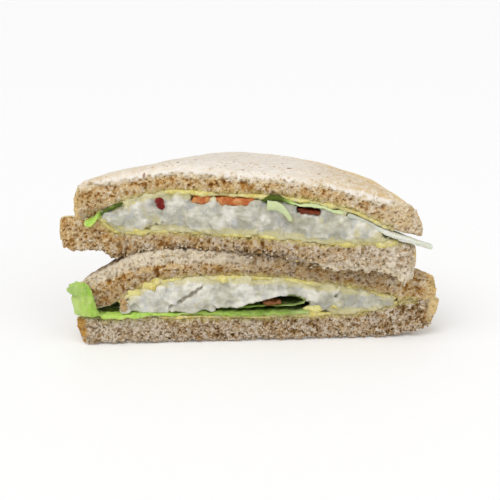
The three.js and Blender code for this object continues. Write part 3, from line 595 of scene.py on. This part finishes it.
for number, slice_ in enumerate(SLICES):
    node, ends, outer = slice_["node"], slice_["ends"], slice_["outer"]
    half = node.split("_")[0]
    shape = loose_copy(node)
    for s, z, half_width, half_height, depth in slice_["lumps"]:
        add_lump(shape, half, (s, depth, z), (half_width, LUMP_HALF_DEPTH, half_height))
    shape = even_faces(shape, BREAD_VOXEL, BREAD_SMOOTHING)
    finer_front(shape, half, 3.0, 2)
    points, normals, at = shape_arrays(shape, half)
    s, t, z = at.T
    share = np.clip((s - ends[0]) / (ends[1] - ends[0]), 0, 1)
    golden, pores, baked = [
        slice_[key][0] + (slice_[key][1] - slice_[key][0]) * share for key in ("golden", "pores", "baked")
    ]

    # The cut face is sunk into holes and grain, up to where the pressed skin begins.
    reach = slice_["reach"]
    seed = 7.3 * number + 1.7
    rough, fine, dips, torn, hollow = cut_relief(at, t < reach + 0.2, pores, seed)
    out = outer * (np.interp(s, *edge_line(at, outer)) - z)
    inner = outer * (z - np.interp(s, *edge_line(at, -outer)))
    facing_cut = -normals @ (to_world(half, np.array([[0, 1, 0]]))[0] / MM)
    facing_out = normals[:, 2] * outer
    below_skin = out - slice_["roll"](s)
    cut = rising(3.6, 2.4, t) * rising(0.35, 0.55, facing_cut + 0.14 * rough)
    opened = slice_["opened"](s) * rising(reach, reach - 1.2, t) * rising(0.1, 0.4, facing_out)
    cut = np.maximum(cut, opened)
    shown = cut * rising(-1.5, 1.3, below_skin + 0.9 * rough + 0.5 * dips)
    cut *= rising(-0.5, 0.5, below_skin + 0.6 * rough)
    sunk = 1.1 * hollow + 0.35 * rough + 0.25 * fine + 0.35 * dips - 0.1
    moved = points - normals * (sunk * cut * MM)[:, None]

    # The edge of the outer face is torn, the edge on the filling is pressed out against the spread,
    # and the flat faces are a little uneven.
    tear = slice_["ragged"] * np.maximum(torn + 0.1, -slice_["hang"])
    tear *= rising(2.6, 0.2, out) * rising(3.2, 1.2, t)
    room = room_between(half, s)
    swell = np.where((half == "lower") & (s > 50) & (room < CLOSED_ROOM), 0.5 * room + 0.15, 0.8)
    pressed = slice_["press"](s) * rising(3, 1, inner) + slice_["worn"](s) * rising(5, 1, out)
    uneven = 0.18 * wave(at, 9.0, seed + 3, 2) * (1 - cut)
    moved += normals * (uneven * MM)[:, None]
    moved[:, 2] -= outer * (tear + swell * rising(2.2, 0.4, inner) * rising(6, 3, t) + pressed) * MM
    moved[:, 2] = np.maximum(moved[:, 2], 0)
    move_points(shape, moved)

    # Crust shows on the two outer sides, in a margin of the outer face and at the ends of the cut.
    to_end = np.minimum(s - ends[0], ends[1] - s)
    to_crust = np.minimum((to_end + APEX_EXTRA - t) / math.sqrt(2), to_end)
    on_outer = rising(0.4, 0.8, facing_out)
    on_inner = rising(0.2, 0.6, -facing_out) * (1 - cut)
    on_side = rising(0.75, 0.5, np.abs(facing_out)) * rising(0.35, 0.05, facing_cut)
    margin = 1.2 + (np.where(share < 0.5, *slice_["margin"]) - 1.2) * on_outer * (1 - cut)
    width = margin + (np.where(share < 0.5, *slice_["rind"]) - margin) * cut
    fading = 0.95 if node == "upper_top_bread" else 0.6
    crust = rising(1 + fading, 1 - fading, to_crust / width)

    # Where the two halves meet, the outer face near the cut is painted as crumb with less crust, and
    # painted shade deepens into the crevice between them. Spread soaks into the crumb that it touches,
    # but not into the hanging lumps, and it is smeared along the closed seam at the right of the lower half.
    shaded_meeting = rising(16, 12, t) * rising(67, 61, s) * on_outer
    shaded_meeting *= node in ("lower_top_bread", "upper_bottom_bread")
    touching = [f"{half}_bottom_spread", f"{half}_top_spread", f"{half}_chicken_mayo"]
    soaked = rising(3.0, 0.3, distance_to(touching, points, SOAK_REACH)) * rising(3.4, 2.2, t)
    for place, height, *_ in slice_["lumps"]:
        soaked *= rising(2.2, 4.2, np.hypot(s - place, z - height))
    seam = rising(56, 60, s) * rising(71, 67, s) * rising(1.8, 0.8, np.abs(inner)) * cut
    toasted = np.maximum(0.15 + 0.4 * rising(-15, -55, s), rising(5, 50, s)) * on_outer
    # dark is painted shade: the slice's own, and, deeper than 1.5 mm in from the cut, on the inner faces and
    # in the crevice where the halves meet.
    paints = {
        "in_cut": np.maximum(shown, shaded_meeting),
        "bold": np.full(len(at), slice_["bold"]),
        "tanned": slice_["tanned"] * toasted,
        "hollow": hollow + 0.2 * rough + 0.2 * fine + 0.1 * dips,
        "crust": np.maximum(crust * (1 - 0.6 * shaded_meeting), 1.3 * on_side),
        "baked": baked,
        "soaked": np.maximum.reduce([soaked, on_inner, 1.3 * seam * (half == "lower")]),
        "golden": golden,
        "pale": slice_["pale"](s, out),
        "dark": np.maximum(slice_["dark"](s, out), 1.5 * np.maximum(shaded_meeting, on_inner) * rising(1.5, 5, t)),
    }

    shades = drop_crumbs(
        crumbs, slice_, half, BVHTree.FromBMesh(shape), edge_line(at, outer), random.Random(90 + number)
    )
    crumb_shades += shades
    crumb_goldens += [0.6 * golden[0]] * len(shades)
    finish_piece(shape, node.replace("bread", "slice"), bread_material, [node], paints)

finish_piece(crumbs, "bread_crumbs", bread_material, [], {
    "in_cut": np.ones(len(crumb_shades)), "hollow": crumb_shades, "golden": crumb_goldens,
})


# ---------------------------------------------------------------- spread
# Yellow margarine on the inner face of each slice. It is pushed into the crumb and squeezed out at
# the cut, so its edge is uneven and stands a little proud.

spread = Finish("yellow spread")
smears = spread.mottle(2.5, detail=3)
flecks = spread.mottle(0.7, detail=3, roughness=0.65, seed=2.0)
thin = spread.mottle(5, detail=3, roughness=0.6, seed=8.0)
spread_colour = spread.blend(smears.ramp(0.35, 0.65), srgb(227, 218, 142), srgb(208, 192, 102))
spread_colour = spread.blend(thin.ramp(0.5, 0.64) * 0.6, spread_colour, srgb(206, 198, 168))
spread_colour = spread.blend(flecks.ramp(0.5, 0.75) * 0.6, spread_colour, srgb(172, 148, 84))
spread_colour = spread.blend(flecks.ramp(0.48, 0.3) * 0.6, spread_colour, srgb(228, 222, 190))
spread_material = spread.surface(
    Base_Color=spread_colour,
    Roughness=0.5,
    Normal=spread.bump(smears + flecks * 0.8, 0.6),
    Subsurface_Weight=0.25,
    Subsurface_Radius=(1.0, 0.8, 0.3),
    Subsurface_Scale=1.5 * MM,
)

# Dabs of spread that stand thicker at the cut: place along it, height, half width and half height.
SPREADS = {
    "lower_bottom": [(27, 13.5, 5.5, 1.4), (36, 14.6, 4, 1.0)],
    "lower_top": [(-46, 21.5, 3.4, 1.8), (-41, 24.2, 3.4, 1.7), (-37, 26.2, 3, 1.3), (-14, 27.2, 5.5, 1.3)],
    "upper_bottom": [
        (-58.5, 51.8, 3.0, 1.6), (-50, 47.9, 3.6, 1.4), (-44, 46.3, 3.4, 1.1),
        (39, 41.6, 3.4, 1.2), (54, 41.9, 4.4, 1.4),
    ],
    "upper_top": [(-46, 57.4, 3.5, 1.0)],
}
SPREAD_VOXEL, SPREAD_SMOOTHING = 0.45, 3
DAB_DEPTH, DAB_HALF_DEPTH = 0.8, 1.3

for number, (label, dabs) in enumerate(SPREADS.items()):
    half = label.split("_")[0]
    shape = loose_copy(f"{label}_spread")
    for s, z, half_width, half_height in dabs:
        turn = -0.1 if s > 0 else 0.2
        add_lump(shape, half, (s, DAB_DEPTH, z), (half_width, DAB_HALF_DEPTH, half_height), turn)
    shape = even_faces(shape, SPREAD_VOXEL, SPREAD_SMOOTHING)
    finer_front(shape, half, 2.0, 1)
    points, normals, at = shape_arrays(shape, half)
    near_cut = rising(4.0, 0.5, at[:, 1])
    thick = wave(at * (1, 0.5, 0.5), 6.0, 3.1 * number + 2, 2)
    lumps = wave(at * (1, 0.6, 1), 2.0, 3.1 * number + 5, 3)
    swell = 0.15 + near_cut * np.maximum(0.15 + 0.35 * thick + 0.1 * lumps, -0.3)
    forward = near_cut * (0.7 * thick + 0.15 * lumps - 0.25)
    out = to_world(half, np.outer(forward, (0, -1, 0)))
    move_points(shape, points + normals * (swell * MM)[:, None] + out)
    finish_piece(shape, f"{label}_yellow_spread", spread_material, [f"{label}_spread"])


# ---------------------------------------------------------------- chicken mayo
# Shredded and diced cooked chicken bound with thick white mayonnaise. Lumps of chicken bulge under
# the coating, with wet creases between them and faint yellow patches. Shade is painted on it in
# blue-grey patches, in the valleys between the lumps, along the cracks and over the dimmed parts.

mayo = Finish("chicken mayo")
cream = mayo.mottle(7, detail=3)
yellowing = mayo.mottle(5, detail=4, roughness=0.6, seed=2.0)
shadow = mayo.mottle(4, detail=3, seed=11.0)
fibres = mayo.mottle(1.2, detail=3, roughness=0.6, seed=5.0)
mayo_colour = mayo.blend(cream.ramp(0.35, 0.65), srgb(228, 225, 214), srgb(210, 207, 194))
# Painted shade: the upper filling, and the lower one towards its right, are dimmed in patches, a little more
# yellow.
shaded_share = mayo.painted("mayo_shade") * ((cream * 0.5 + shadow * 0.5).ramp(0.38, 0.62) * 0.8 + 0.17)
mayo_colour = mayo.blend(shaded_share, mayo_colour, srgb(164, 161, 140))
mayo_colour = mayo.blend(shadow.ramp(0.5, 0.68) * 0.4, mayo_colour, srgb(178, 181, 192))
# Painted shade in the valleys between the lumps.
mayo_colour = mayo.blend(mayo.painted("valley_shade") * 0.5, mayo_colour, srgb(158, 154, 130))
stained = mayo.painted("stained") + (yellowing - 0.5) * 2.6 + (fibres - 0.5) * 0.8
stained = stained + mayo.painted("mayo_shade") * 0.15
mayo_colour = mayo.blend(stained.ramp(0.25, 0.9) * 0.7, mayo_colour, srgb(204, 194, 134))
mayo_colour = mayo.blend(fibres.ramp(0.6, 0.8) * 0.3, mayo_colour, srgb(180, 170, 146))
# Painted shadow along the cracks.
mayo_colour = mayo.blend(mayo.painted("shaded_crack") * 0.5, mayo_colour, srgb(132, 118, 80))
mayo_material = mayo.surface(
    Base_Color=mayo_colour,
    Roughness=0.36,
    Normal=mayo.bump(fibres + cream * 0.3 + shadow * 0.4, 0.6),
    Subsurface_Weight=0.3,
    Subsurface_Radius=(1.0, 0.9, 0.7),
    Subsurface_Scale=2.0 * MM,
)

# Chunks of chicken bulge from the cut, from left to right along each half: first and last place,
# and how many. Lumps of mayonnaise are put where they show: place along the cut, height, half width
# and half height. Cracks run between two such places, with their width; each is a groove with a
# painted shadow line along it.
CHUNKS = {"lower": (-44, 56, 30), "upper": (-52, 52, 40)}
LUMPS = {
    "lower": [
        (-38, 17.2, 4.5, 2.4), (-22.5, 17.0, 5.2, 3.6), (-26, 22.6, 5.5, 2.6),
        (9, 23.8, 5, 1.8), (32, 19.5, 4, 4),
    ],
    "upper": [
        (-14.6, 57.6, 1.7, 2.6), (-29, 58.0, 3.6, 3.0), (-56.0, 52.8, 3.0, 1.1),
        (-46, 50.5, 5.5, 4), (-22, 52, 5, 3.6), (44, 47.6, 6, 2.6),
    ],
}
CRACKS = {
    "lower": [
        ((-26.8, 18.7), (-19.6, 23.6), 0.9),
        ((-32.5, 15.4), (-27.2, 18.4), 1.1),
        ((35.2, 19), (34.6, 22), 0.8),
    ],
    "upper": [
        ((-42.5, 46.6), (-34.8, 50.2), 0.8),
        ((53, 45.4), (55, 45.0), 1.1),
    ],
}
MAYO_VOXEL, MAYO_SMOOTHING = 0.6, 4
LUMP_INWARD, LUMP_HALF_THICKNESS = 0.9, 2.2  # how far behind the cut face a lump's middle lies
FIRST_HEIGHT, LAST_HEIGHT = 10, 66  # heights between which the filling is looked for
LEAST_HEIGHT = 5  # chunks are put only where the filling is at least this high
IN_FRONT, LOOK_M = 20, 0.03  # it is looked for from this far before the cut, and this far back


def straight_in(half):
    """The direction from the cut face into the half."""
    return Vector(to_world(half, np.array([[0, 1, 0]]))[0]).normalized()


def cut_front(tree, half, s, z):
    """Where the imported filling's cut face is, at this place along it and this height, if anywhere."""
    return tree.ray_cast(world_place(half, (s, -IN_FRONT, z)), straight_in(half), LOOK_M)[0]


def distance_to_line(at, start, end):
    """Distance from each point to a line on the cut face."""
    start, along = np.array(start), np.subtract(end, start)
    flat = at[:, [0, 2]] - start
    share = np.clip(flat @ along / (along @ along), 0, 1)
    return np.linalg.norm(flat - share[:, None] * along, axis=1)


for number, half in enumerate(CUT_FRAMES):
    node = f"{half}_chicken_mayo"
    shape = loose_copy(node)
    tree = BVHTree.FromBMesh(shape)
    chance = random.Random(31 + number)
    left, right, count = CHUNKS[half]
    chunks = [left + (right - left) * (i + chance.random()) / count for i in range(count)]
    for s, z, wide, high in [(s, None, None, None) for s in chunks] + LUMPS[half]:
        inward = LUMP_INWARD
        if z is None:
            heights = [z for z in range(FIRST_HEIGHT, LAST_HEIGHT) if cut_front(tree, half, s, z)]
            if len(heights) < LEAST_HEIGHT:
                continue
            z = chance.uniform(heights[0] + 2.2, heights[-1] - 2.0)
            wide, high = chance.uniform(2.2, 5.0), chance.uniform(1.4, 2.6)
            inward = chance.uniform(0.9, 1.6)
        front = cut_front(tree, half, s, z) or world_place(half, (s, 0, z))
        depth = in_cut_frame(half, np.array([front + straight_in(half) * inward * MM]))[0, 1]
        add_lump(shape, half, (s, depth, z), (wide, LUMP_HALF_THICKNESS, high), chance.uniform(-0.9, 0.9))
    shape = even_faces(shape, MAYO_VOXEL, MAYO_SMOOTHING)
    finer_front(shape, half, 3.0, 1)
    points, normals, at = shape_arrays(shape, half)
    near_cut = rising(7.0, 2.0, at[:, 1])
    seed = 11.0 * number + 4
    broad, lump, small = wave(at, 9.0, seed, 2), wave(at, 3.8, seed + 5, 2), wave(at, 1.5, seed + 2, 2)
    rise = 0.15 + near_cut * (0.5 * broad + 0.55 * lump + 0.2 * small)
    rise += 0.9 * near_cut * rising(0.3, 0.8, np.abs(normals[:, 2]))
    if half == "lower":
        rise += 0.4 * near_cut * rising(-0.2, -0.7, normals[:, 2])
    shaded_crack = np.zeros(len(at))
    for start, end, width in CRACKS[half]:
        away = distance_to_line(at, start, end) + 0.35 * small + 0.7 * lump
        shaded_crack = np.maximum(shaded_crack, rising(width, 0.1, away) * rising(5, 3, at[:, 1]))
    move_points(shape, points + normals * ((rise - 1.3 * shaded_crack) * MM)[:, None])
    spreads = [f"{half}_bottom_spread", f"{half}_top_spread"]
    right_end = rising(36, 50, at[:, 0]) * (0.5 if half == "upper" else -0.55)
    # The valleys, the dimmed parts and the cracks are painted shade; the stain is the spread's yellow.
    paints = {
        "valley_shade": rising(0.1, -0.9, broad + lump) * near_cut,
        "stained": rising(3.4, 0.4, distance_to(spreads, points, SOAK_REACH)) + right_end,
        "mayo_shade": 0.3 + 0.8 * rising(12, 30, at[:, 0]) if half == "lower" else np.full(len(at), 0.9),
        "shaded_crack": rising(0.45, 1.0, shaded_crack),
    }
    finish_piece(shape, f"{half}_chicken_filling", mayo_material, [node], paints)


# ---------------------------------------------------------------- lettuce
# Soft round lettuce: thin wavy leaves, bright yellow-green at the edges and painted with shade where
# they fold and where they lie under the bread, with fine pale veins, and one thick watery rib that
# sticks out at the right.

def leaf_finish(name, bright, dark, pale):
    """Two greens in broad patches, with pale veins and blisters, shaded and bleached where painted."""
    leaf = Finish(name)
    tone = leaf.mottle(9, detail=2)
    veins = leaf.cells(7.0, feature="DISTANCE_TO_EDGE", seed=3.0, at=leaf.warped(4, 2.5)).ramp(0.06, 0.0)
    blisters = leaf.mottle(1.8, detail=2, seed=6.0)
    colour = leaf.blend(tone.ramp(0.35, 0.65), bright, dark)
    colour = leaf.blend(blisters.ramp(0.4, 0.7) * 0.35, colour, pale)
    colour = leaf.blend(veins * 0.35, colour, pale)
    colour = leaf.blend(leaf.painted("bleached") * 0.8, colour, srgb(204, 210, 172))
    colour = leaf.blend(leaf.painted("shade"), colour, srgb(64, 76, 16))
    return leaf.surface(
        Base_Color=colour,
        Roughness=leaf.painted("shade") * 0.4 + 0.45,
        Specular_IOR_Level=0.2,
        Normal=leaf.bump(blisters * 0.8 - veins * 0.3, 0.4),
        Subsurface_Weight=0.35,
        Subsurface_Radius=(0.6, 1.0, 0.2),
        Subsurface_Scale=1.5 * MM,
    )


leaf_material = leaf_finish("lettuce leaf", srgb(176, 207, 92), srgb(152, 192, 74), srgb(208, 222, 150))
rib_material = leaf_finish("lettuce rib", srgb(217, 218, 207), srgb(206, 206, 192), srgb(226, 226, 217))

# The divisions smooth the leaf. It is lifted to touch the slice above. The functions say where shade
# is painted on it, in a fold or under the bread, by the place along the cut and in from it, and where
# it is bleached.
LEAVES = [
    dict(
        node="lower_lettuce", levels=2, crinkle=0.45, lift=0.0,
        dark=lambda s, t: (
            np.maximum(rising(0.5, 5, t) * rising(-64, -60, s), 0.45 * rising(-30, -15, s))
            + 0.08 * rising(-60, -62, s) * (1 + np.sin(2.6 * s + 1.3 * t))
        ),
        bleached=lambda s: np.maximum(0.4 * rising(12, 22, s), 0.3 * rising(-65, -70, s)),
    ),
    dict(
        node="lower_lettuce_fold", levels=2, crinkle=0.4, lift=0.0,
        dark=lambda s, t: 0.3 + 0.7 * rising(0.3, 2.5, t),
        bleached=lambda s: 0.4 * rising(8, 16, s),
    ),
    dict(
        node="upper_lettuce_left", levels=3, crinkle=0.3, lift=0.8,
        dark=lambda s, t: rising(-61.5, -58, s),
        bleached=nowhere,
    ),
    dict(
        node="upper_lettuce_right", levels=2, crinkle=0.3, lift=0.45,
        dark=lambda s, t: np.maximum(1.3 * rising(17, 12, s), rising(0.6, 2.5, t)),
        bleached=lambda s: rising(13, 20, s),
    ),
    dict(
        node="upper_lettuce_rib", levels=2, crinkle=0.1, lift=0.3,
        dark=lambda s, t: np.maximum(0.6 * rising(3, 9, t), 0.3 * rising(54, 48, s)),
        bleached=nowhere,
    ),
    dict(
        node="upper_lettuce_curl", levels=3, crinkle=0.2, lift=0.0,
        dark=lambda s, t: rising(0.8, 3, t),
        bleached=everywhere,
    ),
]
COLLAR_FOOT, COLLAR_HEIGHT = 17.0, 11.5  # the upright left end of the lower leaf
COLLAR_MIDDLE = (-62.0, 6.0)  # it stands round this place
COLLAR_LOBE, COLLAR_NOTCH = 24.3, 21.2  # heights where its left edge bulges and is nicked


def ruffled_collar(at):
    """How the upright end of the lower leaf is moved in s, t and z."""
    s, t, z = at.T
    out = np.clip((z - COLLAR_FOOT) / COLLAR_HEIGHT, 0, 1.1) * rising(-57, -60, s)
    along = np.where(t > -0.8, 10.5 - t, 11 + (s + 70.4))
    away = np.stack([s - COLLAR_MIDDLE[0], t - COLLAR_MIDDLE[1]], axis=1)
    away /= np.linalg.norm(away, axis=1)[:, None]
    folds = 0.9 * out * np.sin(2 * math.pi * along / 5.0 + 0.12 * z)
    on_left = rising(15, 11.5, along) * rising(2, 5, along)
    edge = 0.6 * np.exp(-(((z - COLLAR_LOBE) / 2.6) ** 4)) - 1.0 * np.exp(-(((z - COLLAR_NOTCH) / 0.7) ** 2))
    lobes = out**2 * (0.9 * np.abs(np.sin(math.pi * along / 6.2 + 0.5)) - 2.2 + 1.6 * on_left)
    outward = away * (folds + on_left * np.minimum(out * 3, 1) * edge)[:, None]
    return np.column_stack([outward, lobes])


for number, leaf in enumerate(LEAVES):
    node, levels = leaf["node"], leaf["levels"]
    half = node.split("_")[0]
    shape = with_modifier(loose_copy(node), "SUBSURF", levels=levels, render_levels=levels)
    points, normals, at = shape_arrays(shape, half)
    s, t, z = at.T
    sway = np.stack([wave(at, 2.6, 5.0 * number + k, 2) for k in range(3)], axis=1) * (0.4, 0.6, 1.0)
    moved = points - normals * (0.12 * MM) + sway * leaf["crinkle"] * MM
    moved[:, 2] += leaf["lift"] * rising(12, 4, t) * MM
    thicker = 0 * s
    if node == "lower_lettuce":
        moved += to_world(half, ruffled_collar(at))
        thicker = -0.5 * rising(12, 22, s)
    if node == "upper_lettuce_left":  # its bright tip droops
        tip = rising(-59.5, -63, s)
        moved += to_world(half, np.outer(tip, (0, -0.8, -1.5)))
        thicker = 0.35 * (1 - tip)
    if node == "upper_lettuce_right":  # its left end is a lifted fold
        fold = rising(3, 8, s) * rising(19, 11, s) * rising(6, 2, t)
        moved += to_world(half, np.outer(fold, (0, -1.2, 1.4)))
        thicker = 0.6 * fold + 0.3 * rising(17, 22, s)
    move_points(shape, moved + normals * (thicker * MM)[:, None])
    streaks = 1 + 0.45 * wave(at * (0.3, 1, 1), 1.8, 5.0 * number + 4, 2)
    shade = np.minimum(0.85 * leaf["dark"](s, t) * streaks, 0.95)
    paints = {"shade": shade, "bleached": leaf["bleached"](s)}
    material, slot = (rib_material, "lettuce_rib") if "rib" in node else (leaf_material, "lettuce")
    finish_piece(shape, f"{node}_leaf", material, [node], paints)


# ---------------------------------------------------------------- tomato and pepper
# Thin wedges of ripe tomato, cut with the sandwich: wet orange-red flesh with paler streaks. One
# small chip of dark red pepper sits in the face of the upper filling.

def wet_red(name, main, streak, deep):
    """Wet flesh of a main colour, with streaks of a second and spots of a third."""
    flesh = Finish(name)
    streaks = flesh.mottle(2.2, detail=3)
    spots = flesh.mottle(1.0, detail=2, seed=4.0)
    colour = flesh.blend(streaks.ramp(0.4, 0.65), main, streak)
    colour = flesh.blend(spots.ramp(0.6, 0.75) * 0.7, colour, deep)
    return flesh.surface(
        Base_Color=colour,
        Roughness=0.3,
        Normal=flesh.bump(streaks + spots * 0.5, 0.4),
        Subsurface_Weight=0.12,
        Subsurface_Radius=(1.0, 0.3, 0.1),
        Subsurface_Scale=1.0 * MM,
        Specular_IOR_Level=0.22,
    )


tomato_material = wet_red("tomato flesh", srgb(174, 92, 42), srgb(200, 140, 84), srgb(116, 48, 16))
# A much darker copy of the tomato flesh, used for the third wedge of the upper half.
darkest_tomato_material = wet_red("darkest tomato", srgb(96, 30, 8), srgb(124, 56, 20), srgb(58, 14, 2))
shaded_material = wet_red("shaded tomato", srgb(112, 62, 30), srgb(138, 92, 54), srgb(70, 36, 14))
pepper_material = wet_red("red pepper", srgb(106, 14, 8), srgb(134, 36, 26), srgb(70, 8, 4))

# Material, slot, how much the lower edge is drawn up, and how far the top leans to the left, both as
# shares of the height.
RED_PIECES = {
    "lower_tomato": (shaded_material, "tomato", 0.0, 0.0),
    "upper_tomato_1": (tomato_material, "tomato", 0.0, -0.3),
    "upper_tomato_2": (tomato_material, "tomato", 0.0, 0.3),
    "upper_tomato_3": (darkest_tomato_material, "tomato", 0.35, 0.2),
    "upper_red_pepper": (pepper_material, "red_pepper", 0.0, 0.45),
}
RED_VOXEL, RED_SMOOTHING = 0.25, 9

for number, (node, (material, slot, drawn_up, lean)) in enumerate(RED_PIECES.items()):
    half = node.split("_")[0]
    shape = even_faces(loose_copy(node), RED_VOXEL, RED_SMOOTHING)
    points, normals, at = shape_arrays(shape, half)
    s, z = at[:, 0], at[:, 2]
    top, middle = z.max(), (z.max() + z.min()) / 2
    rise = 0.2 + 0.45 * wave(at, 2.4, 4.0 * number + 9, 2)
    if slot == "red_pepper":
        rise -= 0.6 * np.exp(-(((z - middle) / 0.7) ** 2))
    shift = to_world(half, np.stack([-lean * (z - middle), 0 * s, drawn_up * (top - z)], axis=1))
    move_points(shape, points + normals * (rise * MM)[:, None] + shift)
    finish_piece(shape, f"{node}_piece", material, [node])


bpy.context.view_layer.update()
